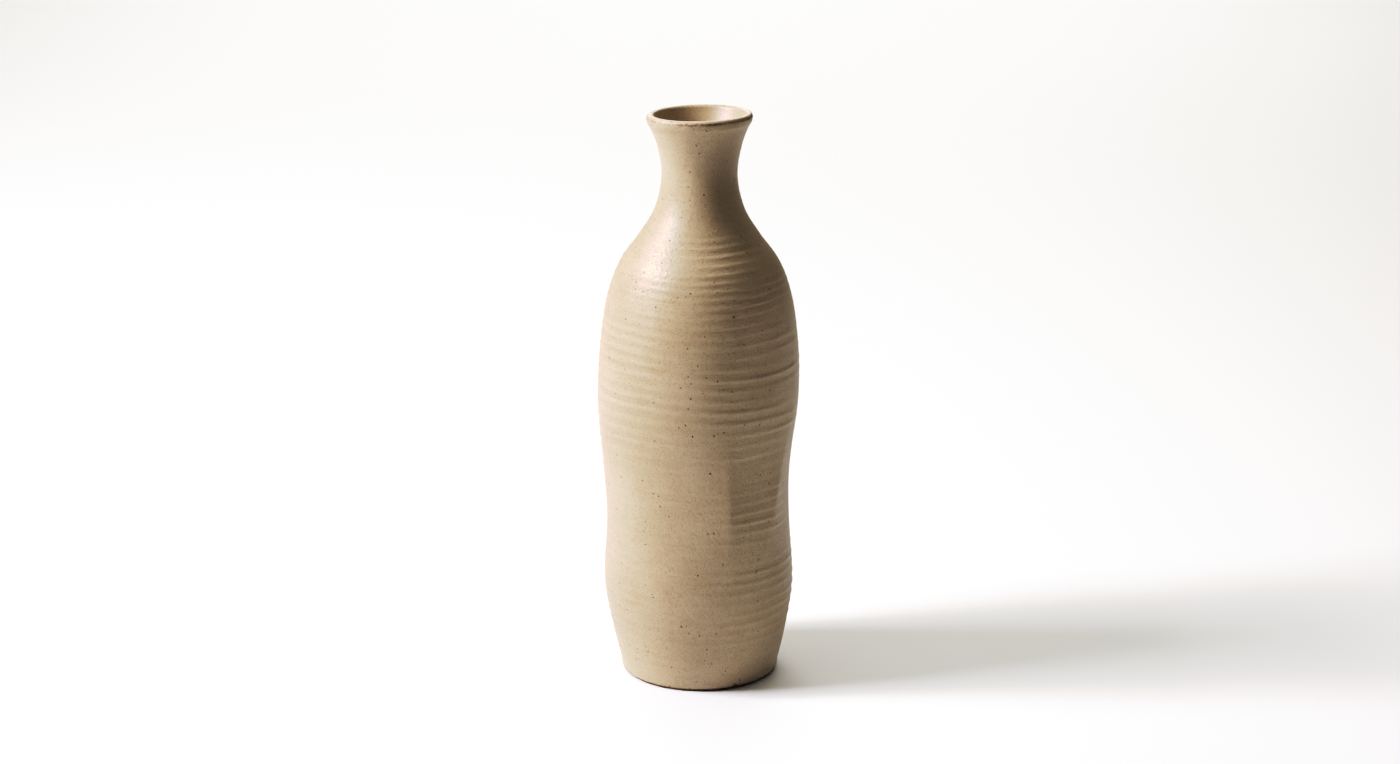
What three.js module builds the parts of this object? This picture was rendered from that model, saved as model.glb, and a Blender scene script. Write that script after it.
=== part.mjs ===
// A wheel-thrown stoneware bottle vase: one fired clay body, squeezed by hand at the waist, with a glaze coat
// outside and a liner glaze inside. Millimetres, +Z up, and the front faces -Y. The origin is the middle of
// the foot, on the surface that the vase stands on.
import * as THREE from "three";

// The clay wall's outer face before the hands press it: each station stands this far above the one before it.
const stations = [
  { name: "hem", rise: 2, radius: 40.8 },
  { name: "flank", rise: 22, radius: 46.2 },
  { name: "hip", rise: 26, radius: 51.3 },
  { name: "waist", rise: 35, radius: 52.8 },
  { name: "ribs", rise: 35, radius: 51.9 },
  { name: "belly", rise: 30, radius: 52.6 },
  { name: "chest", rise: 30, radius: 51.0 },
  { name: "shoulder", rise: 25, radius: 47.1 },
  { name: "slope", rise: 17, radius: 40.8 },
  { name: "collar", rise: 14, radius: 30.9 },
  { name: "neck", rise: 14, radius: 22.6 },
  { name: "throat", rise: 18, radius: 18.7 },
  { name: "flare", rise: 16, radius: 20.9 },
  { name: "lip", rise: 14.2, radius: 26.3 },
];
const lipTilt = 0.5; // how much the lip rises on the right and dips on the left
const lipLift = 0.6; // how much it rises at the front and dips at the back
const tiltStart = 40; // how far under the lip that tilt begins

// The clay's thickness.
const wallAtFoot = 6.5;
const wallAtLip = 2.2;
const floorThickness = 8;
const floorFillet = 14; // radius of the turn from the floor up into the wall

// The foot: a trimmed ring round a shallow recess.
const footEdge = 1.2; // width and height of the softened outer edge
const footRingWidth = 8;
const recessDepth = 1.6;

// The two glaze coats, fired onto the clay.
const outerGlaze = 0.6;
const linerGlaze = 0.5;
const coatGap = 0.3; // between a coat and the clay, and between the two coats
const coatSeamDepth = 13; // how far under the lip's top the outer coat ends, inside the mouth

// What the potter's hands did to the round wall. Each press is centred at an angle in degrees from the front,
// positive towards the right, and at a height; its reach is in degrees and its spread in millimetres.
const presses = [
  { name: "left palm", angle: -92, height: 87, depth: 4.2, reach: 36, spread: 22 },
  { name: "right palm", angle: 92, height: 95, depth: 6.1, reach: 30, spread: 32 },
  { name: "right thumb", angle: 66, height: 98, depth: 1.2, reach: 11, spread: 26 },
  { name: "front flat", angle: -8, height: 96, depth: 2.2, reach: 21, spread: 44 },
  { name: "right front flat", angle: 42, height: 88, depth: 1.6, reach: 15, spread: 42 },
  { name: "back flat", angle: 176, height: 98, depth: 1.8, reach: 32, spread: 38 },
];
const ovalSwell = 0.85; // how far the foot swells out at the front and back, and draws in at the sides
const ovalTop = 150; // the height where the wall is round again

// How finely the surfaces are divided.
const segmentsAround = 36;
const outerSteps = 30;
const innerSteps = 24;
const lipSteps = 6;
const filletSteps = 4;
const floorSteps = 2;

/** The stations as points in the (radius, height) plane, from the hem to the lip. */
function stationPoints() {
  let height = 0;
  return stations.map(({ rise, radius }) => {
    height += rise;
    return new THREE.Vector3(radius, height, 0);
  });
}

const points = stationPoints();
const hemHeight = points[0].y;
const { x: lipRadius, y: lipHeight } = points.at(-1);
const widestRadius = Math.max(...points.map((point) => point.x));
const outerCurve = new THREE.CatmullRomCurve3(points, false, "centripetal");

/** The clay's thickness at a height, thinning evenly from the foot to the lip. */
function wallAt(height) {
  return THREE.MathUtils.mapLinear(height, hemHeight, lipHeight, wallAtFoot, wallAtLip);
}

/** A place on the clay's face: its point in the (radius, height) plane and the direction out of the clay. */
function place(radius, height, outRadius, outHeight) {
  const out = new THREE.Vector2(outRadius, outHeight).normalize();
  return { point: new THREE.Vector2(radius, height), out };
}

/** Moves a place out of the clay by a distance, and returns the point there. */
function lift({ point, out }, distance) {
  return point.clone().addScaledVector(out, distance);
}

/** Part of a circle in the (radius, height) plane, as places that face away from its centre, or in at -1. */
function arc(centre, size, fromAngle, toAngle, steps, facing = 1) {
  return Array.from({ length: steps + 1 }, (_, i) => {
    const angle = THREE.MathUtils.lerp(fromAngle, toAngle, i / steps);
    const [c, s] = [Math.cos(angle), Math.sin(angle)];
    return place(centre.x + size * c, centre.y + size * s, facing * c, facing * s);
  });
}

/** The outer face of the wall, from the hem up to where the lip begins to round over. */
function outerWall() {
  return Array.from({ length: outerSteps + 1 }, (_, i) => {
    const along = i / outerSteps;
    const at = outerCurve.getPointAt(along);
    const tangent = outerCurve.getTangentAt(along);
    return place(at.x, at.y, tangent.y, -tangent.x);
  });
}

/** The inner face of the wall, from under the lip down to the top of the floor's fillet. */
function innerWall(outside) {
  const filletTop = floorThickness + floorFillet;
  const lipBand = wallAtLip / 2;
  const inside = outside
    .map(({ point, out }) => place(...lift({ point, out }, -wallAt(point.y)).toArray(), -out.x, -out.y))
    .filter(({ point }) => point.y > filletTop && point.y < lipHeight - lipBand)
    .reverse();
  const curve = new THREE.CatmullRomCurve3(inside.map(({ point }) => new THREE.Vector3(point.x, point.y, 0)));
  return Array.from({ length: innerSteps + 1 }, (_, i) => {
    const at = curve.getPointAt(i / innerSteps);
    const tangent = curve.getTangentAt(i / innerSteps);
    return place(at.x, at.y, tangent.y, -tangent.x);
  });
}

/** The half turn over the lip, from the outer face to the inner face. */
function lipRound(outside) {
  const { point, out } = outside.at(-1);
  const size = wallAtLip / 2;
  const centre = lift({ point, out }, -size);
  const start = Math.atan2(out.y, out.x);
  return arc(centre, size, start, start + Math.PI, lipSteps);
}

/** The hollow turn from the inner wall to the floor, and the floor to the axis. */
function innerFloor(inside) {
  const centre = new THREE.Vector2(inside.at(-1).point.x - floorFillet, floorThickness + floorFillet);
  const fillet = arc(centre, floorFillet, 0, -Math.PI / 2, filletSteps, -1);
  const floor = Array.from({ length: floorSteps }, (_, i) =>
    place(centre.x * (1 - (i + 1) / floorSteps), floorThickness, 0, 1),
  );
  return [...fillet, ...floor];
}

/** The clay face that is glazed: up the outside, over the lip and down inside to the middle of the floor. */
function glazedFace() {
  const outside = outerWall();
  const inside = innerWall(outside);
  return [...outside, ...lipRound(outside).slice(1), ...inside.slice(1, -1), ...innerFloor(inside)];
}

/** Splits the glazed face where the coats meet, inside the mouth: the share of each, and both as one face. */
function coatFaces(face) {
  const top = Math.max(...face.map(({ point }) => point.y));
  const highest = face.findIndex(({ point }) => point.y === top);
  const below = (depth) => face.findIndex(({ point }, i) => i > highest && top - point.y >= depth);
  const at = (depth) => {
    const next = below(depth);
    const [a, b] = [face[next - 1], face[next]];
    const share = (a.point.y - (top - depth)) / (a.point.y - b.point.y);
    return { point: a.point.clone().lerp(b.point, share), out: a.out.clone().lerp(b.out, share).normalize() };
  };
  const outer = [...face.slice(0, below(coatSeamDepth)), at(coatSeamDepth)];
  const liner = [at(coatSeamDepth + coatGap), ...face.slice(below(coatSeamDepth + coatGap))];
  return { outer, liner, clay: [...outer, ...liner] };
}

/** The clay's outline: the underside from the axis out, the bare hem, then the glazed face to the axis. */
function clayOutline(face) {
  const hem = face[0].point;
  const standing = hem.x - footEdge;
  const recessRadius = standing - footRingWidth;
  return [
    new THREE.Vector2(0, recessDepth),
    new THREE.Vector2(recessRadius - recessDepth, recessDepth),
    new THREE.Vector2(recessRadius, 0),
    new THREE.Vector2(standing, 0),
    new THREE.Vector2(hem.x - footEdge * (1 - Math.SQRT1_2), footEdge * (1 - Math.SQRT1_2)),
    ...face.map(({ point }) => point),
  ];
}

/** The two sides of a coat that covers a face: the side on the clay, and the side in the open. */
function coatOutline(face, thickness) {
  const under = face.map((at) => lift(at, coatGap));
  const over = face.map((at) => lift(at, coatGap + thickness));
  return { under, over };
}

/** A bell of height 1 that falls off over a reach. */
function bell(distance, reach) {
  return Math.exp(-0.5 * (distance / reach) ** 2);
}

/** How far the hands push the wall in at an angle in degrees and a height. */
function pressedIn(angle, height) {
  return presses.reduce((sum, press) => {
    const apart = THREE.MathUtils.euclideanModulo(angle - press.angle + 180, 360) - 180;
    return sum + press.depth * bell(apart, press.reach) * bell(height - press.height, press.spread);
  }, 0);
}

/** Reshapes a turned form as the hands do: pressed at the waist, oval at the foot, and tilted at the lip. */
function shapeByHand(geometry) {
  const { smoothstep, radToDeg } = THREE.MathUtils;
  const position = geometry.getAttribute("position");
  for (let i = 0; i < position.count; i++) {
    const [x, y, z] = [position.getX(i), position.getY(i), position.getZ(i)];
    const angle = Math.atan2(x, -y);
    const oval = ovalSwell * Math.cos(2 * angle) * (1 - smoothstep(z, 0, ovalTop));
    const scale = 1 + (oval - pressedIn(radToDeg(angle), z)) / widestRadius;
    const slant = (lipTilt * x - lipLift * y) / lipRadius;
    const tilt = slant * smoothstep(z, lipHeight - tiltStart, lipHeight);
    position.setXYZ(i, x * scale, y * scale, z + tilt);
  }
  return geometry;
}

/** Turns an outline about the vase's axis and shapes it by hand, as a named piece. */
function thrown(name, outline, material) {
  const turned = new THREE.LatheGeometry(outline, segmentsAround).rotateX(Math.PI / 2);
  const mesh = new THREE.Mesh(shapeByHand(turned), material);
  mesh.name = name;
  return mesh;
}

const firedClay = new THREE.MeshStandardMaterial({ color: 0xb08a63, roughness: 0.85, metalness: 0 });
const satinGlaze = new THREE.MeshStandardMaterial({ color: 0xc4a882, roughness: 0.5, metalness: 0 });
const linerSatin = new THREE.MeshStandardMaterial({ color: 0xb89b74, roughness: 0.4, metalness: 0 });

const faces = coatFaces(glazedFace());
const outerCoat = coatOutline(faces.outer, outerGlaze);
const linerCoat = coatOutline(faces.liner, linerGlaze);
const closed = (outline) => [...outline, outline[0].clone()];

const vase = new THREE.Group();
vase.add(
  thrown("clay_body", clayOutline(faces.clay), firedClay),
  thrown("outer_glaze", closed([...outerCoat.over, ...outerCoat.under.reverse()]), satinGlaze),
  thrown("liner_glaze", [...linerCoat.under.reverse(), ...linerCoat.over], linerSatin),
);

export default vase;
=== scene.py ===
"""A wheel-thrown stoneware bottle vase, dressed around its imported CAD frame.

The vase is one clay form that was thrown on a wheel, pressed in at the waist by hand, glazed outside and
lined inside. Every piece here is a surface over two parameters, the angle round the pot and the place along
an outline, worked out as whole arrays. Sizes are in millimetres and angles in degrees, and each mesh is put
into metres as it is made. An angle is counted from the front, which faces -Y, and is positive towards the
right, which is +X.
"""
import logging
import math
from collections.abc import Callable, Mapping, Sequence
from dataclasses import dataclass
from enum import Enum

import bpy
import numpy as np
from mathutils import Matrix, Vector


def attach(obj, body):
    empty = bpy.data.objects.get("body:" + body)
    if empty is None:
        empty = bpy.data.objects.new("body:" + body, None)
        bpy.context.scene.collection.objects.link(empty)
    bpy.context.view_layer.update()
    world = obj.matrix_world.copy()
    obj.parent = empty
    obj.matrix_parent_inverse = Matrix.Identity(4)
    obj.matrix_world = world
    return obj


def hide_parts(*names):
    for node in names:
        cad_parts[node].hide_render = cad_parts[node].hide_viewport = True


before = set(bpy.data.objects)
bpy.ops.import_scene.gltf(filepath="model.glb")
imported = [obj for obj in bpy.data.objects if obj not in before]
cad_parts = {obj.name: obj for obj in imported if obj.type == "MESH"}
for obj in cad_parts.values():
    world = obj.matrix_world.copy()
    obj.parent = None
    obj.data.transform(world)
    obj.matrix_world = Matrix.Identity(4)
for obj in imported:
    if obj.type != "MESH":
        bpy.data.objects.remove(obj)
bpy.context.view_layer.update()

Array = np.ndarray
Material, Object, Socket = bpy.types.Material, bpy.types.Object, bpy.types.NodeSocket

log = logging.getLogger("vase")

MM = 0.001  # metres in a millimetre
REFRACTION = 1.58  # of the fired surfaces
CURVE_STEPS = 200  # divisions of the wall between two stations
FILLET_STEPS = 24  # divisions of the turn from the wall to the floor
FLOOR_STEPS = 60  # divisions of the floor


# ---- Small formulas shared by the shapes ----


def bell(distance: Array, reach: float) -> Array:
    """A bell of height 1 that falls off over a reach: e to the minus half of (distance / reach) squared."""
    return np.exp(-0.5 * (distance / reach) ** 2)


def plateau(distance: Array, reach: float) -> Array:
    """A flat-topped bell: e to the minus (distance / reach) to the fourth."""
    return np.exp(-((distance / reach) ** 4))


def smooth(value: Array, low: float, high: float) -> Array:
    """A smooth step from 0 at low to 1 at high: 3t^2 - 2t^3 of the value's share t of the way."""
    share = np.clip((value - low) / (high - low), 0.0, 1.0)
    return share * share * (3 - 2 * share)


def apart(angle: Array, centre: float) -> Array:
    """How far angles are from a centre, in degrees from -180 to 180, the short way round."""
    return (angle - centre + 180.0) % 360.0 - 180.0


def columns_round(count: int) -> Array:
    """The angles of a grid's columns, evenly round the pot from the back, as one row."""
    return np.linspace(-180, 180, count, endpoint=False)[None, :]


@dataclass(frozen=True, kw_only=True)
class Spot:
    """A place that a hand worked, with a reach in angle and a spread in height.

    Its middle moves by the slant in degrees for each millimetre upwards.
    """

    angle: float
    height: float
    reach: float
    spread: float
    slant: float = 0.0

    def away(self, angle: Array, height: Array) -> Array:
        """How far angles are from the middle at those heights, in degrees."""
        return apart(angle, self.angle + self.slant * (height - self.height))

    def bells(self, angle: Array, height: Array, size: float) -> Array:
        """A size times a bell in angle times a bell in height."""
        return size * bell(self.away(angle, height), self.reach) * bell(height - self.height, self.spread)


@dataclass(frozen=True)
class WallNoise:
    """Smooth seeded noise over the wall, which closes on itself round the pot.

    A grid of random numbers, some cells around and a cell height apart, is blended with the four cubic
    B-spline weights in each direction.
    """

    seed: int
    across: int
    cell_height: float
    tallest: float = 330.0
    swing: float = 1.6

    def at(self, angle: Array, height: Array) -> Array:
        """The noise at angles and heights.

        Args:
            angle: Angles in degrees.
            height: Heights in millimetres, of a shape that broadcasts with the angles.

        Returns:
            Values between about -1 and 1.
        """
        rows = int(self.tallest / self.cell_height) + 5  # two spare rows below and three above
        lattice = np.random.default_rng(self.seed).uniform(-self.swing, self.swing, (rows, self.across))
        u, v = np.broadcast_arrays(angle / 360.0 * self.across, height / self.cell_height + 2.0)
        column, row = np.floor(u).astype(int), np.floor(v).astype(int)
        total = np.zeros(u.shape)
        for i, down in enumerate(self._weights(v - row)):
            for j, over in enumerate(self._weights(u - column)):
                rows_at = np.clip(row + i - 1, 0, rows - 1)
                total += down * over * lattice[rows_at, (column + j - 1) % self.across]
        return total

    @staticmethod
    def _weights(share: Array) -> tuple[Array, ...]:
        """The four cubic B-spline weights at a share of a cell."""
        rest = 1 - share
        return (
            rest**3 / 6,
            (3 * share**3 - 6 * share**2 + 4) / 6,
            (3 * rest**3 - 6 * rest**2 + 4) / 6,
            share**3 / 6,
        )


# ---- The form: an outline in the (radius, height) plane, and what the potter's hands did to it ----


@dataclass(frozen=True)
class Outline:
    """Places along a line in the (radius, height) plane, each with the unit direction out of the clay."""

    points: Array
    outs: Array

    def lifted(self, distance: float | Array) -> "Outline":
        """The same outline moved out of the clay: point + distance * out."""
        return Outline(self.points + np.reshape(distance, (-1, 1)) * self.outs, self.outs)

    def reversed(self) -> "Outline":
        """The same places in the other order."""
        return Outline(self.points[::-1], self.outs[::-1])

    def part(self, keep: Array | slice) -> "Outline":
        """The places that a mask or a slice keeps."""
        return Outline(self.points[keep], self.outs[keep])

    def lengths(self) -> Array:
        """The distance along the line to each place, from 0 at the first."""
        steps = np.linalg.norm(np.diff(self.points, axis=0), axis=1)
        return np.concatenate([[0.0], np.cumsum(steps)])

    def spaced(self, heights: Sequence[float], gaps: Sequence[float]) -> "Outline":
        """The line with new places on it, closer where a gap is smaller.

        The places stand at equal steps of the integral of 1 / gap along the line.

        Args:
            heights: Heights, rising, where a gap is given.
            gaps: The wanted distance between places at those heights; it changes evenly between them.

        Returns:
            The new outline, from the same first place to the same last one.
        """
        along = self.lengths()
        density = 1.0 / np.interp(self.points[:, 1], heights, gaps)
        count = np.concatenate([[0.0], np.cumsum(np.diff(along) * (density[1:] + density[:-1]) / 2)])
        wanted = np.interp(np.linspace(0, count[-1], max(2, round(count[-1]) + 1)), count, along)
        columns = [np.interp(wanted, along, c) for c in (*self.points.T, *self.outs.T)]
        outs = np.stack(columns[2:], axis=1)
        return Outline(np.stack(columns[:2], axis=1), outs / np.linalg.norm(outs, axis=1, keepdims=True))

    def evenly(self, gap: float) -> "Outline":
        """The line with new places on it, a gap apart all along."""
        return self.spaced((0, 1), (gap, gap))

    def thinned(self, stride: int) -> "Outline":
        """Every so many places of the line, and its last one."""
        last = len(self.points) - 1
        return self.part(np.r_[0:last:stride, last])

    @staticmethod
    def joined(*lines: "Outline") -> "Outline":
        """Several outlines as one, in order."""
        return Outline(np.concatenate([l.points for l in lines]), np.concatenate([l.outs for l in lines]))

    @staticmethod
    def arc(centre: Sequence[float], size: float, start: float, end: float, steps: int,
            facing: int = 1) -> "Outline":
        """Part of a circle: centre + size * (cos, sin), facing away from the centre, or towards it at -1."""
        angle = np.linspace(start, end, steps + 1)
        ray = np.stack([np.cos(angle), np.sin(angle)], axis=1)
        return Outline(np.asarray(centre) + size * ray, facing * ray)


@dataclass(frozen=True, kw_only=True)
class Press(Spot):
    """One place where a hand pushed the wall in."""

    depth: float

    def depth_at(self, angle: Array, height: Array) -> Array:
        """How far the wall is pushed in there, in millimetres."""
        return self.bells(angle, height, self.depth)


@dataclass(frozen=True)
class VaseForm:
    """The thrown and pressed form that the clay and both coats follow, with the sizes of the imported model."""

    # Each station's rise above the one before it, and its radius, from the hem to the lip.
    stations: tuple[tuple[float, float], ...] = (
        (2, 40.8), (22, 46.2), (26, 51.3), (35, 52.8), (35, 51.9), (30, 52.6), (30, 51.0),
        (25, 47.1), (17, 40.8), (14, 30.9), (14, 22.6), (18, 18.7), (16, 20.9), (14.2, 26.3),
    )
    presses: tuple[Press, ...] = (
        Press(angle=-92, height=87, depth=4.2, reach=36, spread=22),
        Press(angle=92, height=95, depth=6.1, reach=30, spread=32),
        Press(angle=66, height=98, depth=1.2, reach=11, spread=26),
        Press(angle=-8, height=96, depth=2.2, reach=21, spread=44),
        Press(angle=42, height=88, depth=1.6, reach=15, spread=42),
        Press(angle=176, height=98, depth=1.8, reach=32, spread=38),
    )
    lip_tilt: float = 0.5
    lip_lift: float = 0.6
    tilt_start: float = 40.0
    oval_swell: float = 0.85
    oval_top: float = 150.0
    wall_at_foot: float = 6.5
    wall_at_lip: float = 2.2
    floor_thickness: float = 8.0
    floor_fillet: float = 14.0
    foot_edge: float = 1.2
    foot_ring_width: float = 8.0
    recess_depth: float = 1.6
    coat_gap: float = 0.3
    coat_seam_depth: float = 13.0

    @property
    def station_points(self) -> Array:
        """The stations as (radius, height) rows: each height is the sum of the rises up to it."""
        rises, radii = np.array(self.stations, float).T
        return np.stack([radii, np.cumsum(rises)], axis=1)

    @property
    def lip_height(self) -> float:
        """The height where the wall ends and the lip begins to round over."""
        return float(self.station_points[-1, 1])

    @property
    def standing_radius(self) -> float:
        """The outer radius of the foot's flat ring, inside its softened edge."""
        return float(self.station_points[0, 0]) - self.foot_edge

    @property
    def recess_radius(self) -> float:
        """The radius where the foot's ring ends and the recess begins."""
        return self.standing_radius - self.foot_ring_width

    def wall(self) -> Outline:
        """The outer face of the wall: a centripetal Catmull-Rom curve through the stations, finely divided.

        Between two stations the curve is the cubic with the tangents of the non-uniform Catmull-Rom
        spline, whose steps are the square roots of the distances between stations.
        """
        points = self.station_points
        ends = np.concatenate([[2 * points[0] - points[1]], points, [2 * points[-1] - points[-2]]])
        before, start, end, after = ends[:-3], ends[1:-2], ends[2:-1], ends[3:]
        step = lambda a, b: np.sqrt(np.linalg.norm(b - a, axis=1, keepdims=True))
        d0, d1, d2 = step(before, start), step(start, end), step(end, after)
        leave = ((start - before) / d0 - (end - before) / (d0 + d1)) * d1 + (end - start)
        arrive = (end - start) - ((after - start) / (d1 + d2) - (after - end) / d2) * d1
        t = np.linspace(0, 1, CURVE_STEPS, endpoint=False)[None, :, None]
        start, end, leave, arrive = (a[:, None, :] for a in (start, end, leave, arrive))
        curve = start + leave * t + (3 * (end - start) - 2 * leave - arrive) * t**2
        curve = curve + (2 * (start - end) + leave + arrive) * t**3
        curve = np.concatenate([curve.reshape(-1, 2), points[-1:]])
        tangent = np.gradient(curve, axis=0)
        tangent /= np.linalg.norm(tangent, axis=1, keepdims=True)
        return Outline(curve, np.stack([tangent[:, 1], -tangent[:, 0]], axis=1))

    def lip(self, steps: int) -> Outline:
        """The half turn over the lip, from the outer face to the inner face."""
        last = self.wall().part(slice(-1, None))
        size = self.wall_at_lip / 2
        start = math.atan2(last.outs[0, 1], last.outs[0, 0])
        return Outline.arc(last.lifted(-size).points[0], size, start, start + math.pi, steps)

    def inside(self) -> Outline:
        """The inner face, from the end of the lip's turn down the wall, round the fillet and to the axis."""
        wall = self.wall()
        share = (wall.points[:, 1] - wall.points[0, 1]) / (self.lip_height - wall.points[0, 1])
        inner = wall.lifted(-(self.wall_at_foot + share * (self.wall_at_lip - self.wall_at_foot)))
        fillet_top = self.floor_thickness + self.floor_fillet
        inner = Outline(inner.points, -inner.outs).part(inner.points[:, 1] > fillet_top).reversed()
        centre = (float(inner.points[-1, 0]) - self.floor_fillet, fillet_top)
        fillet = Outline.arc(centre, self.floor_fillet, 0.0, -math.pi / 2, FILLET_STEPS, facing=-1)
        radii = np.linspace(centre[0], 0.0, FLOOR_STEPS)[1:]
        up = np.tile([0.0, 1.0], (len(radii), 1))
        floor = Outline(np.stack([radii, np.full(len(radii), self.floor_thickness)], axis=1), up)
        return Outline.joined(inner, fillet, floor)

    def glazed_face(self, outside: Outline, inside: Outline, lip_steps: int) -> Outline:
        """The whole glazed clay face: up the outside, over the lip and down inside."""
        return Outline.joined(outside, self.lip(lip_steps).part(slice(1, -1)), inside)

    def coat_seam(self, face: Outline) -> int:
        """The first place on the glazed face, inside the mouth, at the seam's depth under the lip's top."""
        heights = face.points[:, 1]
        top = int(np.argmax(heights))
        return top + int(np.argmax(heights[top] - heights[top:] >= self.coat_seam_depth))

    def shaped(self, radius: Array, height: Array, angle: Array) -> Array:
        """Places the hands have moved: pressed at the waist, oval at the foot, and tilted at the lip.

        The radius is scaled by 1 + (swell * cos(2 angle) fading with height - presses) / widest radius,
        and the lip rises by its tilt times the share of the lip's radius to the right, and by its lift times
        the share to the front.

        Args:
            radius: Radii in millimetres, one for each grid point.
            height: Heights in millimetres.
            angle: Angles in degrees.

        Returns:
            Points in millimetres, with a last axis of three.
        """
        radius, height, angle = np.broadcast_arrays(radius, height, angle)
        turn = np.radians(angle)
        widest, lip_radius = self.station_points[:, 0].max(), self.station_points[-1, 0]
        pressed = sum(press.depth_at(angle, height) for press in self.presses)
        oval = self.oval_swell * np.cos(2 * turn) * (1 - smooth(height, 0, self.oval_top))
        scale = 1 + (oval - pressed) / widest
        x, y = radius * np.sin(turn), -radius * np.cos(turn)
        slant = (self.lip_tilt * x - self.lip_lift * y) / lip_radius
        rise = slant * smooth(height, self.lip_height - self.tilt_start, self.lip_height)
        return np.stack([x * scale, y * scale, height + rise], axis=-1)


# ---- The relief on the outside ----


@dataclass(frozen=True, kw_only=True)
class Smoothing(Spot):
    """A place where the hand wiped the rings away: an amount times a plateau in angle and in height."""

    amount: float

    def left_at(self, angle: Array, height: Array) -> Array:
        """The share of the rings that is left there."""
        over = plateau(self.away(angle, height), self.reach) * plateau(height - self.height, self.spread)
        return 1 - self.amount * over


@dataclass(frozen=True, kw_only=True)
class FingerMark(Spot):
    """A small raised ridge: its size times a bell in angle and in height, along a slant."""

    size: float

    def relief(self, angle: Array, height: Array) -> Array:
        """The height of the mark."""
        return self.bells(angle, height, self.size)


@dataclass(frozen=True, kw_only=True)
class PinchedEdge(Spot):
    """A soft edge between two flats, which fingers pinched up.

    It is a size times e to the minus (distance from the edge / reach), rounded over a small softness, times a
    bell in height. The distance and the reach are in millimetres along a wall of the given radius.
    """

    size: float
    softness: float = 1.1
    wall_radius: float = 50.0

    def relief(self, angle: Array, height: Array) -> Array:
        """The height of the edge."""
        distance = np.radians(self.away(angle, height)) * self.wall_radius
        rounded = np.sqrt(distance**2 + self.softness**2) - self.softness
        return self.size * np.exp(-rounded / self.reach) * bell(height - self.height, self.spread)


@dataclass(frozen=True)
class ThrowingRings:
    """The rings that the thrower's fingers drew in the turning clay, one for each turn of the wheel."""

    size: float = 0.37
    # The rise for one turn of the wheel, and the rings' strength, both at heights from the foot up.
    pitch_heights: tuple[float, ...] = (0, 110, 165, 200, 214, 300)
    pitches: tuple[float, ...] = (5.4, 5.8, 6.2, 5.0, 3.9, 3.9)
    strength_heights: tuple[float, ...] = (8, 26, 60, 120, 150, 224, 236, 248, 300)
    strengths: tuple[float, ...] = (0.0, 0.42, 0.86, 1.08, 1.04, 0.85, 0.60, 0.13, 0.08)
    smoothings: tuple[Smoothing, ...] = (
        Smoothing(angle=-16, reach=36, height=78, spread=62, amount=0.94),
        Smoothing(angle=-78, reach=32, height=84, spread=52, amount=0.72),
        Smoothing(angle=-10, reach=15, height=190, spread=52, amount=0.66),
        Smoothing(angle=-56, reach=36, height=222, spread=27, amount=0.78),
        Smoothing(angle=30, reach=24, height=190, spread=8, amount=0.50),
        Smoothing(angle=88, reach=30, height=104, spread=26, amount=0.90),
        Smoothing(angle=-94, reach=32, height=178, spread=66, amount=0.66),
        Smoothing(angle=98, reach=32, height=190, spread=62, amount=0.66),
        Smoothing(angle=176, reach=44, height=98, spread=46, amount=0.60),
    )
    # How narrow the ridges are, how the courses wander, the weaker second line, and the strokes' swell.
    crest_sharpness: float = 1.5
    wobble: float = 0.34
    jitter: float = 0.16
    second_line: float = 0.30
    second_drift: float = 3.0
    counted_to: float = 320.0
    groove_share: float = 0.4
    stroke_mean: float = 0.76
    stroke_swing: float = 0.90
    stroke_limits: tuple[float, float] = (0.12, 1.7)

    def turns(self, angle: Array, height: Array) -> Array:
        """The wheel's turns up to a height: the integral of 1 / pitch, plus the angle's share and wobbles."""
        heights = np.linspace(0, self.counted_to, 2 * int(self.counted_to) + 1)
        rate = 1 / np.interp(heights, self.pitch_heights, self.pitches)
        count = np.concatenate([[0.0], np.cumsum((rate[1:] + rate[:-1]) / 2 * np.diff(heights))])
        wobble = self.wobble * WallNoise(seed=11, across=7, cell_height=24).at(angle, height)
        jitter = self.jitter * WallNoise(seed=13, across=9, cell_height=9).at(angle, height)
        return np.interp(height, heights, count) + angle / 360.0 + wobble + jitter

    def relief(self, angle: Array, height: Array) -> Array:
        """How high the rings stand: strength * (crest - groove share), in strokes that swell and fade.

        The crest is (half of 1 + cos of the turns) to a power, which makes narrow ridges and wide grooves,
        and a weaker line of half the pitch wanders in and out of it.
        """
        turns = self.turns(angle, height)
        crest = (0.5 + 0.5 * np.cos(2 * np.pi * turns)) ** self.crest_sharpness
        drift = WallNoise(seed=23, across=5, cell_height=30).at(angle, height)
        crest = crest + self.second_line * 0.5 * np.cos(4 * np.pi * turns + self.second_drift * drift)
        swell = WallNoise(seed=37, across=11, cell_height=5.2).at(angle, height)
        strokes = np.clip(self.stroke_mean + self.stroke_swing * swell, *self.stroke_limits)
        strength = np.interp(height, self.strength_heights, self.strengths) * strokes
        for smoothing in self.smoothings:
            strength = strength * smoothing.left_at(angle, height)
        return self.size * strength * (crest - self.groove_share)


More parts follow.
